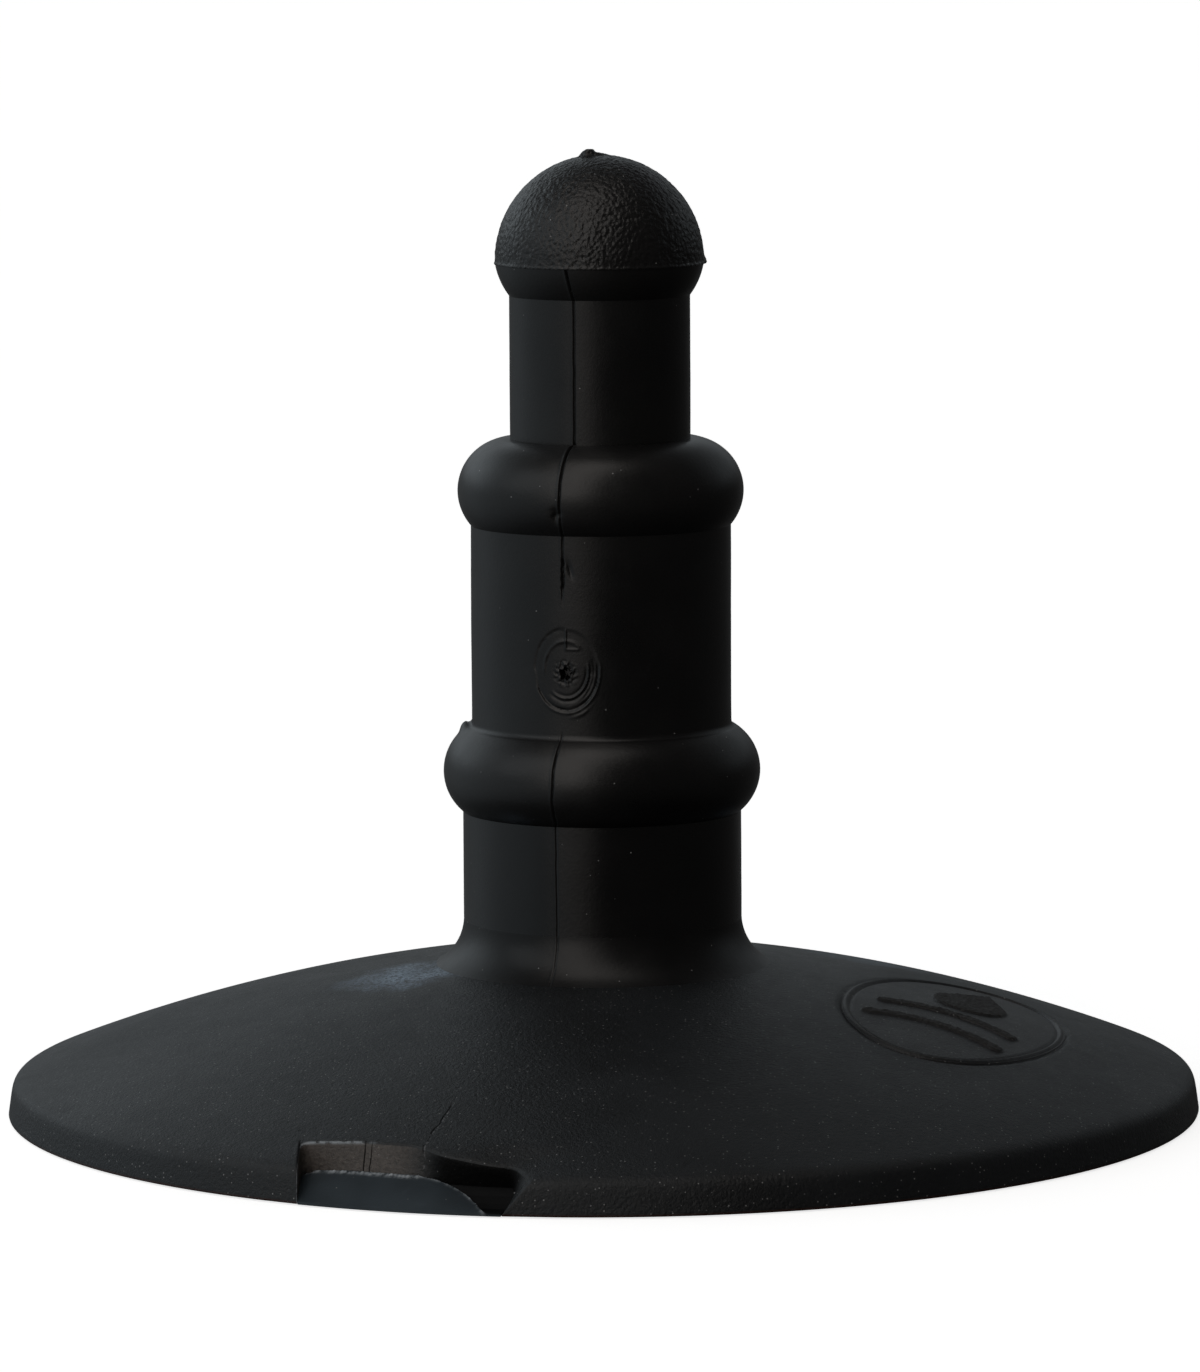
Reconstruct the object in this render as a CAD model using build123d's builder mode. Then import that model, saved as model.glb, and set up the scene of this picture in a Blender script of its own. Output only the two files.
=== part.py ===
from build123d import *
import os

# Rubber sink plunger: a shallow suction cup with a stepped, ringed handle moulded on it.
# Millimetres. The origin is the centre of the sealing face, +Z runs up the handle, and the
# front of the plunger looks along -Y.

os.makedirs("parts", exist_ok=True)

# --- cup ---
cup_radius = 75.0  # outer edge of the sealing face
seal_inner = 71.5  # inner edge of the sealing face
web_outer = 66.0  # where the flexing web ends and the stiff lip starts
web_outer_underside = 4.5
crown_middle = (54.0, 11.4)
crown_end = (73.6, 4.65)
lip_corner = (74.55, 3.3)
inside_middle = (48.0, 10.0)
foot_radius = 21.0  # edge of the flared foot of the handle
foot_height = 18.3  # height of the crown there
hub_underside = 15.0

# --- lift notch and tab, on the mould's parting plane, left of the front ---
seam_angle = 20.0
notch_back = 69.0  # radius of the back wall
notch_left, notch_right, notch_flare = -13.6, 13.9, 3.0  # at the back wall, and how much it widens
notch_slant = 0.354  # the left side leans inwards by this much for each millimetre outwards
clearance = 0.2  # round the tab, which stands free of the lip
root_height, edge_height = 3.35, 0.35  # top of the tab at the back wall and at its edge
scoop_root, scoop_height = 2.6, 0.45  # top of the tab's thin side, at the back wall and out from it
crescent_start, crescent_middle, crescent_end = (2.0, -notch_back), (7.9, -70.7), (12.2, -74.2)

# --- badge, an oval inlay on the cup's right side ---
badge_place = Location((43.6, -13.8, 0), (0, 0, -18.0))
badge_length, badge_width = 44.4, 26.2
badge_line = 0.9
badge_sunk, badge_proud = 0.8, 0.35

# --- handle, from the cup up ---
neck_radius, neck_bottom = 17.5, 24.0
lower_ring_radius, lower_ring_bottom, lower_ring_top = 19.9, 37.7, 49.0
middle_radius = 16.3
upper_ring_radius, upper_ring_bottom, upper_ring_top = 17.9, 73.7, 84.5
upper_radius = 11.3
skirt_radius, skirt_bottom, dome_bottom = 13.05, 102.4, 106.3
dome_top = 119.9
nub_radius, nub_height, nub_sunk = 1.3, 0.7, 0.5  # torn sprue on top of the dome

tall = 200.0  # longer than any piece
seam_frame = Plane.XY.rotated((0, 0, -seam_angle))

# --- the cup's section, shared by its lip, web and tab: a convex crown and a hollow inside ---
with BuildSketch(Plane.XZ) as cup_section:
    with BuildLine():
        crown = ThreePointArc((foot_radius, foot_height), crown_middle, crown_end)
        RadiusArc(crown_end, lip_corner, 1.8)
        Polyline(lip_corner, (cup_radius, 0), (seal_inner, 0), (web_outer, web_outer_underside))
        ThreePointArc((web_outer, web_outer_underside), inside_middle, (foot_radius, hub_underside))
        Line((foot_radius, hub_underside), (foot_radius, foot_height))
    make_face()


def crown_skin(below, above):
    """Draws the section of a skin that follows the crown, from below its surface to above it."""
    with BuildSketch(Plane.XZ) as skin:
        with BuildLine():
            under = add(crown.moved(Location((0, -below))))
            over = add(crown.moved(Location((0, above))))
            Line(crown @ 0 - (0, below), crown @ 0 + (0, above))
            Line(crown @ 1 - (0, below), crown @ 1 + (0, above))
        make_face()
    return skin.sketch


def cut_above(*floor):
    """Draws the section of everything above a floor that runs outwards through these points."""
    inner, outer = floor[0], floor[-1]
    with BuildSketch(Plane.XZ) as cut:
        with BuildLine():
            Polyline(
                (web_outer, inner[1]), *floor, (tall, outer[1]), (tall, tall), (web_outer, tall),
                close=True,
            )
        make_face()
    return cut.sketch


def notch_plan(gap):
    """Draws the notch from above: a slanted left side, a round back and a flared right side."""
    left, right, back = notch_left + 2.2 * gap, notch_right - gap, notch_back + gap
    flare, far = right + notch_flare - 3 * gap, cup_radius + 5  # room for a rising corner
    left_back = (left, -((back**2 - left**2) ** 0.5))
    left_front = (left + notch_slant * (far + left_back[1]), -far)
    right_back = (flare, -((back**2 - flare**2) ** 0.5))
    with BuildSketch(seam_frame) as plan:
        with BuildLine():
            Polyline((right, -far), left_front, left_back)
            ThreePointArc(left_back, (0, -back), right_back)
            Polyline(right_back, (right, -cup_radius), (right, -far))
        make_face()
    return plan.sketch


def badge_plan(inset):
    """Draws the badge's oval, smaller all round by inset."""
    with BuildSketch() as plan:
        with Locations(badge_place):
            Ellipse(badge_width / 2 - inset, badge_length / 2 - inset)
    return plan.sketch


# --- suction lip: the stiff ring that seals on the sink, with the lift notch cut in it ---
with BuildPart() as suction_lip:
    revolve(cup_section.sketch, axis=Axis.Z)
    Cylinder(web_outer, tall, mode=Mode.SUBTRACT)
    extrude(notch_plan(0), amount=tall, mode=Mode.SUBTRACT)
suction_lip.part.label = "suction_lip"
export_step(suction_lip.part, "parts/suction_lip.step")

# --- lift tab: the thin floor of the notch, with a raised crescent that tapers out rightwards ---
with BuildPart() as tab_scoop:
    root, edge = (notch_back, root_height), (cup_radius, edge_height)
    revolve(cut_above((notch_back, scoop_root), (seal_inner, scoop_height), edge), axis=Axis.Z)
    with BuildSketch(seam_frame):
        with BuildLine():
            ThreePointArc(crescent_start, crescent_middle, crescent_end)
            Polyline(crescent_end, (crescent_end[0], -tall), (tall, -tall), (tall, 0),
                     (crescent_start[0], 0), crescent_start)
        make_face()
    extrude(amount=tall, mode=Mode.INTERSECT)

with BuildPart() as lift_tab:
    revolve(cup_section.sketch, axis=Axis.Z)
    extrude(notch_plan(clearance), amount=tall, mode=Mode.INTERSECT)
    revolve(cut_above(root, edge), axis=Axis.Z, mode=Mode.SUBTRACT)
    add(tab_scoop.part, mode=Mode.SUBTRACT)
lift_tab.part.label = "lift_tab"
export_step(lift_tab.part, "parts/lift_tab.step")

# --- oval badge: an inlay with a raised line round it and a drop over two waves ---
with BuildPart() as badge_relief:
    revolve(crown_skin(badge_sunk / 2, badge_proud), axis=Axis.Z)
    with BuildSketch():
        add(badge_plan(0))
        add(badge_plan(badge_line), mode=Mode.SUBTRACT)
        with Locations(badge_place * Location((0, 6))):
            Circle(3.4)
            with Locations((0, 4.2)):
                RegularPolygon(3.4, 3, rotation=90)
        for offset in (-5.0, -10.5):
            with Locations(badge_place * Location((0, offset))):
                SlotArc(CenterArc((0, -7.0), 9.0, 55, 70), 1.3)
    extrude(amount=tall, mode=Mode.INTERSECT)

with BuildPart() as oval_badge:
    revolve(crown_skin(badge_sunk, 0), axis=Axis.Z)
    extrude(badge_plan(0), amount=tall, mode=Mode.INTERSECT)
    add(badge_relief.part)
oval_badge.part.label = "oval_badge"
export_step(oval_badge.part, "parts/oval_badge.step")

# --- cup web: the thin crown that flexes when the handle is pushed down ---
with BuildPart() as cup_web:
    revolve(cup_section.sketch, axis=Axis.Z)
    Cylinder(web_outer, tall, mode=Mode.INTERSECT)
    add(oval_badge.part, mode=Mode.SUBTRACT)
cup_web.part.label = "cup_web"
export_step(cup_web.part, "parts/cup_web.step")

# --- handle foot: the hub of the cup, flaring up into the neck ---
with BuildPart() as handle_foot:
    with BuildSketch(Plane.XZ):
        with BuildLine():
            Polyline((neck_radius, neck_bottom), (0, neck_bottom), (0, hub_underside),
                     (foot_radius, hub_underside), (foot_radius, foot_height))
            ThreePointArc((foot_radius, foot_height), (18.4, 20.9), (neck_radius, neck_bottom))
        make_face()
    revolve(axis=Axis.Z)
handle_foot.part.label = "handle_foot"
export_step(handle_foot.part, "parts/handle_foot.step")


def plain_section(bottom, top, radius):
    """Draws the section of a straight round length of the handle."""
    with BuildSketch(Plane.XZ) as drawn:
        with Locations((radius / 2, (bottom + top) / 2)):
            Rectangle(radius, top - bottom)
    return drawn.sketch


# --- the straight lengths between the rings ---
with BuildPart() as handle_neck:
    revolve(plain_section(neck_bottom, lower_ring_bottom, neck_radius), axis=Axis.Z)
handle_neck.part.label = "handle_neck"
export_step(handle_neck.part, "parts/handle_neck.step")

with BuildPart() as middle_grip:
    revolve(plain_section(lower_ring_top, upper_ring_bottom, middle_radius), axis=Axis.Z)
middle_grip.part.label = "middle_grip"
export_step(middle_grip.part, "parts/middle_grip.step")

with BuildPart() as upper_grip:
    revolve(plain_section(upper_ring_top, skirt_bottom, upper_radius), axis=Axis.Z)
upper_grip.part.label = "upper_grip"
export_step(upper_grip.part, "parts/upper_grip.step")

# --- the two round rings that stop the hand slipping ---
with BuildPart() as lower_grip_ring:
    with BuildSketch(Plane.XZ):
        with BuildLine():
            ThreePointArc((neck_radius, lower_ring_bottom), (lower_ring_radius, 42.9), (16.9, 48.2))
            Polyline((16.9, 48.2), (middle_radius, lower_ring_top), (0, lower_ring_top),
                     (0, lower_ring_bottom), (neck_radius, lower_ring_bottom))
        make_face()
    revolve(axis=Axis.Z)
lower_grip_ring.part.label = "lower_grip_ring"
export_step(lower_grip_ring.part, "parts/lower_grip_ring.step")

with BuildPart() as upper_grip_ring:
    with BuildSketch(Plane.XZ):
        with BuildLine():
            ThreePointArc((middle_radius, upper_ring_bottom), (upper_ring_radius, 78.4),
                          (12.4, upper_ring_top))
            Polyline((12.4, upper_ring_top), (0, upper_ring_top), (0, upper_ring_bottom),
                     (middle_radius, upper_ring_bottom))
        make_face()
    revolve(axis=Axis.Z)
upper_grip_ring.part.label = "upper_grip_ring"
export_step(upper_grip_ring.part, "parts/upper_grip_ring.step")

# --- the knob: a smooth skirt below the flash line and a rough dome above it ---
with BuildPart() as knob_skirt:
    with BuildSketch(Plane.XZ):
        with BuildLine():
            ThreePointArc((upper_radius, skirt_bottom), (12.35, 104.2), (skirt_radius, dome_bottom))
            Polyline((skirt_radius, dome_bottom), (0, dome_bottom), (0, skirt_bottom),
                     (upper_radius, skirt_bottom))
        make_face()
    revolve(axis=Axis.Z)
knob_skirt.part.label = "knob_skirt"
export_step(knob_skirt.part, "parts/knob_skirt.step")

dome_rise = dome_top - dome_bottom
dome_radius = (dome_rise**2 + skirt_radius**2) / (2 * dome_rise)
with BuildPart() as knob_dome:
    with BuildSketch(Plane.XZ):
        with BuildLine():
            RadiusArc((skirt_radius, dome_bottom), (0, dome_top), -dome_radius)
            Polyline((0, dome_top), (0, dome_bottom), (skirt_radius, dome_bottom))
        make_face()
    revolve(axis=Axis.Z)
    with Locations((0, 0, dome_top - nub_sunk)):
        Cone(nub_radius, nub_radius / 2, nub_sunk + nub_height,
             align=(Align.CENTER, Align.CENTER, Align.MIN))
knob_dome.part.label = "knob_dome"
export_step(knob_dome.part, "parts/knob_dome.step")
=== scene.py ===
import itertools
import math

import bmesh
import bpy
import numpy as np
from mathutils import Matrix


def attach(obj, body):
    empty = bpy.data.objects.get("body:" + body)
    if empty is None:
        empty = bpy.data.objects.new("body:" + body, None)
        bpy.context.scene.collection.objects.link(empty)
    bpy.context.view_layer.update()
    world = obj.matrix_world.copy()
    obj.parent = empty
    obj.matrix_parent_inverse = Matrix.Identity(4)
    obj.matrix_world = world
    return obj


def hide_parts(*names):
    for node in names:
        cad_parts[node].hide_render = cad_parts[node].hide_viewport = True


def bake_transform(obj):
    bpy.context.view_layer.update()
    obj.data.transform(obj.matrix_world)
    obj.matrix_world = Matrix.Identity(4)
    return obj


# Rubber sink plunger. Lengths are millimetres until a mesh is made. Azimuths are degrees from
# the front (-Y), and negative ones are to the left (-X).

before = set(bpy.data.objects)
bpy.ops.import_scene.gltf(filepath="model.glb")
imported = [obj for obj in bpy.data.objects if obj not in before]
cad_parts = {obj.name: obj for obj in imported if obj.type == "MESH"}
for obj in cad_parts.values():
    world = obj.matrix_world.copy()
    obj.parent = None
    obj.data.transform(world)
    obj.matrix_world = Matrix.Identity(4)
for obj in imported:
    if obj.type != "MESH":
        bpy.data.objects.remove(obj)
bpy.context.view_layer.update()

# --- dimensions, as the CAD has them ---
CUP_RADIUS, SEAL_INNER, WEB_OUTER = 75.0, 71.5, 66.0
CROWN = ((21.0, 18.3), (54.0, 11.4), (73.6, 4.65))
LIP_CORNER = (74.55, 3.3)
HOLLOW = ((66.0, 4.5), (48.0, 10.0), (21.0, 15.0))
FOOT_RADIUS, FOOT_HEIGHT, HUB_UNDERSIDE = 21.0, 18.3, 15.0
SEAM_ANGLE = 20.0
NOTCH_BACK, NOTCH_LEFT, NOTCH_SLANT = 69.0, -13.6, 0.354
WALL_FOOT = 2.05  # height of the notch wall's lower edge
TAB_ROOT, TAB_EDGE, SCOOP_ROOT = 3.35, 0.35, 2.6
TAB_GAP = 0.06
CRESCENT = ((2.0, -69.0), (7.9, -70.7), (12.2, -74.2))
BADGE_CENTRE, BADGE_TURN, BADGE_HALF = (43.6, -13.8), -18.0, (13.1, 22.2)
BADGE_SUNK = 0.8
NECK_RADIUS, GRIP_RADIUS, UPPER_RADIUS = 17.5, 16.3, 11.3
KNOB_EDGE, KNOB_RADIUS = 106.3, 13.05
DOME_TOP, NUB_HEIGHT = 119.9, 0.7

# --- smooth noise, the same on every run ---
rng = np.random.default_rng(11)
ORDER = np.tile(rng.permutation(256), 2)
SLOPES = rng.normal(size=(256, 3))
SLOPES /= np.linalg.norm(SLOPES, axis=1)[:, None]


def noise(points, size):
    """Gradient noise, about -0.6 to 0.6, of features about size mm across."""
    p = np.asarray(points, float).reshape(-1, 3) / size + 100.0
    cell = np.floor(p).astype(int)
    f = p - cell
    u = f * f * f * (f * (f * 6 - 15) + 10)
    total = np.zeros(len(p))
    for corner in itertools.product((0, 1), repeat=3):
        c = np.array(corner)
        i = (cell + c) & 255
        h = ORDER[ORDER[ORDER[i[:, 0]] + i[:, 1]] + i[:, 2]]
        total += np.prod(np.where(c == 1, u, 1 - u), axis=1) * ((f - c) * SLOPES[h]).sum(1)
    return total.reshape(np.shape(points)[:-1])


def ease(low, high, x):
    """0 below low and 1 above high, with a smooth rise between them."""
    t = np.clip((np.asarray(x, float) - low) / (high - low), 0, 1)
    return t * t * (3 - 2 * t)


def bell(x, width):
    """1 at zero, falling away on both sides."""
    return np.exp(-0.5 * (np.asarray(x, float) / width) ** 2)


# --- sections ---
def circle_through(a, b, c):
    """The centre and radius of the circle through three points."""
    (x1, y1), (x2, y2), (x3, y3) = a, b, c
    m = 2 * np.array([[x2 - x1, y2 - y1], [x3 - x1, y3 - y1]])
    v = [x2**2 - x1**2 + y2**2 - y1**2, x3**2 - x1**2 + y3**2 - y1**2]
    centre = np.linalg.solve(m, v)
    return centre, math.hypot(x1 - centre[0], y1 - centre[1])


def arc(a, b, c, count):
    """Points from a through b to c, both ends included."""
    centre, radius = circle_through(a, b, c)
    angles = [math.atan2(p[1] - centre[1], p[0] - centre[0]) for p in (a, b, c)]
    angles = np.unwrap(angles)
    t = np.linspace(angles[0], angles[2], count)
    return centre + radius * np.stack([np.cos(t), np.sin(t)], 1)


def line(a, b, count):
    a, b = np.array(a, float), np.array(b, float)
    return a + np.linspace(0, 1, count)[:, None] * (b - a)


def chain(*runs):
    """Joins runs of points, leaving out each repeated end."""
    kept = [np.asarray(runs[0], float)]
    for run in runs[1:]:
        kept.append(np.asarray(run, float)[1:])
    return np.concatenate(kept)


crown_centre, crown_radius = circle_through(*CROWN)
hollow_centre, hollow_radius = circle_through(*HOLLOW)


def on_arc(r, centre, radius):
    """Height of a section's arc at radius r."""
    side = 1 if centre[1] < 0 else -1
    return centre[1] + side * np.sqrt(np.maximum(radius**2 - (r - centre[0]) ** 2, 0))


def crown_z(r):
    """Height of the cup's top face at radius r."""
    return on_arc(np.asarray(r, float), crown_centre, crown_radius)


def place(r, azimuth, z):
    """Points from a radius, an azimuth and a height."""
    a = np.radians(azimuth)
    return np.stack(np.broadcast_arrays(r * np.sin(a), -r * np.cos(a), z), -1)


# --- meshes ---
def make_piece(name, points, faces, sharp=38.0):
    mesh = bpy.data.meshes.new(name)
    mesh.from_pydata((np.asarray(points).reshape(-1, 3) * 0.001).tolist(), [], faces)
    mesh.validate()
    mesh.shade_smooth()
    mesh.set_sharp_from_angle(angle=math.radians(sharp))
    piece = bpy.data.objects.new(name, mesh)
    bpy.context.scene.collection.objects.link(piece)
    return piece


def quads(rows, columns, close_rows=False, close_columns=True):
    """Faces of a grid whose points run along each row."""
    i = np.arange(rows if close_rows else rows - 1)[:, None]
    j = np.arange(columns if close_columns else columns - 1)[None, :]
    up, right = (i + 1) % rows, (j + 1) % columns
    corners = [i * columns + j, i * columns + right, up * columns + right, up * columns + j]
    return np.stack([np.broadcast_to(c, (i.size, j.size)).ravel() for c in corners], 1).tolist()


# --- the mould's seam, which wanders a little as it climbs the handle ---
SEAM_LINE = np.array([
    (18.3, -18.5), (24, -18.7), (37.7, -19.0), (38.2, -18.3), (49, -17.5), (60, -17.2),
    (84.5, -16.3), (102.4, -16.2), (106.3, -18.4), (120, -18.4),
])
SEAM_DEPTH = np.array([
    (18.3, 0.05), (24, 0.06), (37, 0.08), (38.6, 0.13), (47.5, 0.17), (49.4, 0.0),
    (65.2, 0.0), (67.0, 0.10), (73, 0.12), (77, 0.17), (82, 0.24), (84.4, 0.28), (85.0, 0.15),
    (102, 0.14), (106.2, 0.26),
])


def seam_azimuth(z):
    return np.interp(z, SEAM_LINE[:, 0], SEAM_LINE[:, 1])


def seam_relief(offset, z, r):
    """The parting line: a fine groove with a slight ridge of flash on its left."""
    depth = np.interp(z, SEAM_DEPTH[:, 0], SEAM_DEPTH[:, 1])
    relief = 0.0
    for centre, share in ((0.0, 1.0), (180.0, 0.7)):
        away = np.radians((offset - centre + 180) % 360 - 180) * r
        wander = 0.10 * noise(np.stack(np.broadcast_arrays(z, centre + 0 * z, 0 * z), -1), 2.1)
        away = away - wander
        groove = -depth * bell(away, 0.085)
        ridge = 0.28 * depth * bell(away + 0.27, 0.12)
        relief = relief + share * (groove + ridge)
    return relief


def columns_round(patches=()):
    """Offsets from the seam for the columns of a round piece: close together at both seams."""
    near = np.concatenate([np.arange(-1.68, 1.69, 0.14), [-3.4, -2.7, -2.1, 2.1, 2.7, 3.4]])
    spread = [near, 180 + near, *patches, np.arange(-180, 180, 1.5)]
    taken = np.concatenate([np.mod(s, 360) for s in spread[:-1]])
    gaps = np.abs((np.mod(spread[-1], 360)[:, None] - taken[None, :] + 180) % 360 - 180).min(1)
    plain = np.mod(spread[-1], 360)[gaps > 0.7]
    return np.unique(np.round(np.concatenate([taken, plain]), 4))


COLUMNS = columns_round()


def turned(name, profile, relief=None, columns=COLUMNS, tip=None, seam=True):
    """A closed round piece from its outline, read upwards, with relief along its normal."""
    outline = np.asarray(profile, float)
    slope = np.gradient(outline, axis=0)
    normal = np.stack([slope[:, 1], -slope[:, 0]], 1)
    normal /= np.linalg.norm(normal, axis=1)[:, None]
    r, z = outline[:, 0][:, None], outline[:, 1][:, None]
    offset = columns[None, :] + 0 * z
    azimuth = (offset + seam_azimuth(z) + 180) % 360 - 180
    height = seam_relief(offset, z + 0 * offset, r) if seam else 0 * offset
    if relief is not None:
        height = height + relief(azimuth, z + 0 * azimuth, r + 0 * azimuth)
    points = place(r + height * normal[:, 0][:, None], azimuth, z + height * normal[:, 1][:, None])
    rows, count = len(outline), len(columns)
    faces = quads(rows, count)
    points = points.reshape(-1, 3)
    faces.append(list(range(count))[::-1])
    if tip is not None:
        points = np.vstack([points, tip])
        last = (rows - 1) * count
        faces += [[last + j, last + (j + 1) % count, rows * count] for j in range(count)]
    else:
        faces.append([(rows - 1) * count + j for j in range(count)])
    return make_piece(name, points, faces)


def faint_waves(azimuth, z, r):
    """Moulded rubber is never quite true: long shallow waves."""
    p = place(r, azimuth, z)
    return 0.05 * noise(p, 11.0) + 0.02 * noise(p, 3.7)


# --- handle foot and neck ---
foot_side = arc((FOOT_RADIUS, FOOT_HEIGHT), (18.4, 20.9), (NECK_RADIUS, 24.0), 44)
foot = turned(
    "handle_foot_moulded",
    chain(line((FOOT_RADIUS, HUB_UNDERSIDE), (FOOT_RADIUS, FOOT_HEIGHT), 6), foot_side),
    lambda a, z, r: faint_waves(a, z, r) * ease(18.2, 20.0, z),
)
neck = turned(
    "handle_neck_moulded", line((NECK_RADIUS, 24.0), (NECK_RADIUS, 37.7), 60), faint_waves,
)

# --- lower ring ---
FLASH_AZIMUTH, FLASH_Z = -90.0, 48.2


def lower_ring_relief(azimuth, z, r):
    away = np.radians(azimuth - FLASH_AZIMUTH) * r
    nub = 0.75 * bell(away, 1.1) * bell(z - FLASH_Z, 0.42)
    return faint_waves(azimuth, z, r) + nub


ring_low = chain(
    arc((NECK_RADIUS, 37.7), (19.9, 42.9), (16.9, 48.2), 84),
    arc((16.9, 48.2), (16.45, 48.5), (GRIP_RADIUS, 49.0), 8),
)
lower_ring = turned("lower_grip_ring_moulded", ring_low, lower_ring_relief)

# --- middle grip, with the mark that the feed gate left ---
GATE_AZIMUTH, GATE_Z, GATE_HALF = -15.7, 57.15, (4.1, 5.1)
GATE_STEP = 4.4  # mm for a step of one in the rings' relative radius
PIT_AZIMUTH, PIT_Z = -15.9, 56.7


def arc_gate(angle, start, end, blur=14.0):
    """1 between two angles in degrees and 0 elsewhere, with soft ends."""
    middle, half = (start + end) / 2, (end - start) / 2
    away = np.abs((angle - middle + 180) % 360 - 180)
    return 1 - ease(half - blur, half + blur, away)


# Each arc: relative radius, height in mm (negative is a groove), and its two end angles.
GATE_ARCS = [
    (1.0, 0.16, 92, 170), (1.0, -0.28, 95, 176), (0.99, -0.26, -150, 6), (1.045, 0.15, -150, 6),
    (0.70, 0.14, 60, 185), (0.76, -0.14, -120, 10), (0.70, 0.15, -118, 10),
    (0.64, -0.12, -112, 0), (0.86, -0.10, -60, 15), (1.17, 0.10, -82, -55),
]


def gate_relief(azimuth, z, r):
    """The gate's rings, a small tag above them and the torn pit in the middle."""
    u, v = np.radians(azimuth - GATE_AZIMUTH) * r, z - GATE_Z
    rho = np.hypot(u / GATE_HALF[0], v / GATE_HALF[1])
    angle = np.degrees(np.arctan2(v, u))
    p = place(r, azimuth, z)
    rough = 1 + 0.9 * noise(p, 0.8)
    relief = -0.10 * (1 - ease(0.93, 1.03, rho))
    for where, height, start, end in GATE_ARCS:
        ring = bell((rho - where) * GATE_STEP, 0.13) * arc_gate(angle, start, end)
        relief = relief + height * ring * rough
    relief = relief + 0.12 * bell(u, 0.10) * ease(2.2, 2.8, v) * (1 - ease(4.8, 5.2, v))
    relief = relief + 0.10 * bell(v - 2.55, 0.10) * ease(0.0, 0.2, u) * (1 - ease(1.5, 1.8, u))
    a, b = np.radians(azimuth - PIT_AZIMUTH) * r, z - PIT_Z
    d, turn = np.hypot(a, b), np.arctan2(b, a)
    star = 0.66 + 0.13 * np.sin(5 * turn + 0.6) + 0.08 * np.sin(8 * turn)
    torn = bell(d - 1.15, 0.30) * (0.6 * noise(p, 0.45) + 0.25 * noise(p, 0.25))
    return 0.62 * relief - 1.2 * (1 - ease(star - 0.22, star + 0.12, d)) + 0.34 * torn


def middle_relief(azimuth, z, r):
    p = place(r, azimuth, z)
    away = np.radians(azimuth - seam_azimuth(z)) * r
    ragged = 0.28 * noise(p, 0.5)
    tear = -0.20 * bell(away + ragged, 0.13) * (1 - ease(1.5, 2.2, np.abs(z - 69.0)))
    tick = -0.16 * bell(away - 0.9 + 0.25 * (z - 69.6), 0.22) * bell(z - 69.6, 0.7)
    ends = ease(49.0, 49.8, z) * (1 - ease(72.9, 73.7, z))
    return faint_waves(azimuth, z, r) + gate_relief(azimuth, z, r) + (tear + tick) * ends


gate_rows = np.concatenate([
    np.linspace(49.0, 51.0, 9), np.arange(51.12, 63.4, 0.12), np.linspace(63.6, 67.0, 12),
    np.arange(67.15, 71.4, 0.15), np.linspace(71.6, 73.7, 8),
])
middle = turned(
    "middle_grip_moulded",
    np.stack([np.full(len(gate_rows), GRIP_RADIUS), gate_rows], 1),
    middle_relief,
    columns=columns_round([np.arange(-16.0, 19.6, 0.4)]),
)


# --- upper ring and upper grip ---
def upper_ring_relief(azimuth, z, r):
    p = place(r, azimuth, z)
    away = np.radians(azimuth - seam_azimuth(z)) * r
    chip = -0.35 * bell(away + 0.5 + 0.3 * noise(p, 0.6), 0.35) * bell(z - 76.4, 0.55)
    return faint_waves(azimuth, z, r) + chip


ring_high = arc((GRIP_RADIUS, 73.7), (17.9, 78.4), (12.4, 84.5), 96)
ring_high = chain(ring_high, line((12.4, 84.5), (UPPER_RADIUS, 84.5), 3))
upper_ring = turned("upper_grip_ring_moulded", ring_high, upper_ring_relief)
upper = turned(
    "upper_grip_moulded", line((UPPER_RADIUS, 84.5), (UPPER_RADIUS, 102.4), 72), faint_waves,
)

# --- knob: smooth skirt, then a leathery dome whose edge stands a hair proud ---
skirt_side = arc((UPPER_RADIUS, 102.4), (12.35, 104.2), (13.0, KNOB_EDGE), 36)
skirt = turned("knob_skirt_moulded", skirt_side, faint_waves)

dome_rise = DOME_TOP - KNOB_EDGE
dome_radius = (dome_rise**2 + KNOB_RADIUS**2) / (2 * dome_rise)
DOME_CENTRE = DOME_TOP - dome_radius


def dome_relief(azimuth, z, r):
    """Leathery creases, a proud lower edge, and a bit of flash on the right."""
    p = place(r, azimuth, z)
    warp = (p + 0.35 * np.stack([noise(p + s, 1.1) for s in (3.0, 17.0, 41.0)], -1)) * (1, 1, 0.6)
    leather = 0.11 * np.abs(noise(warp, 0.55)) + 0.05 * noise(warp, 0.36) + 0.03 * noise(p, 2.6)
    low = ease(KNOB_EDGE, 107.4, z)
    edge = 0.10 * bell(z - 106.45, 0.14)
    turn = np.abs((azimuth - 90 + 180) % 360 - 180)
    flash = 0.30 * bell(turn, 3.5) * bell(z - 106.7, 0.4)
    return (leather - 0.05) * (0.25 + 0.75 * low) + edge + flash


low_angle = math.asin((KNOB_EDGE - DOME_CENTRE) / dome_radius)
dome_angles = np.concatenate([
    np.linspace(low_angle, low_angle + 0.05, 10),
    np.linspace(low_angle + 0.060, math.pi / 2 - 0.004, 150),
])
dome_profile = np.stack(
    [dome_radius * np.cos(dome_angles), DOME_CENTRE + dome_radius * np.sin(dome_angles)], 1
)


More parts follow.
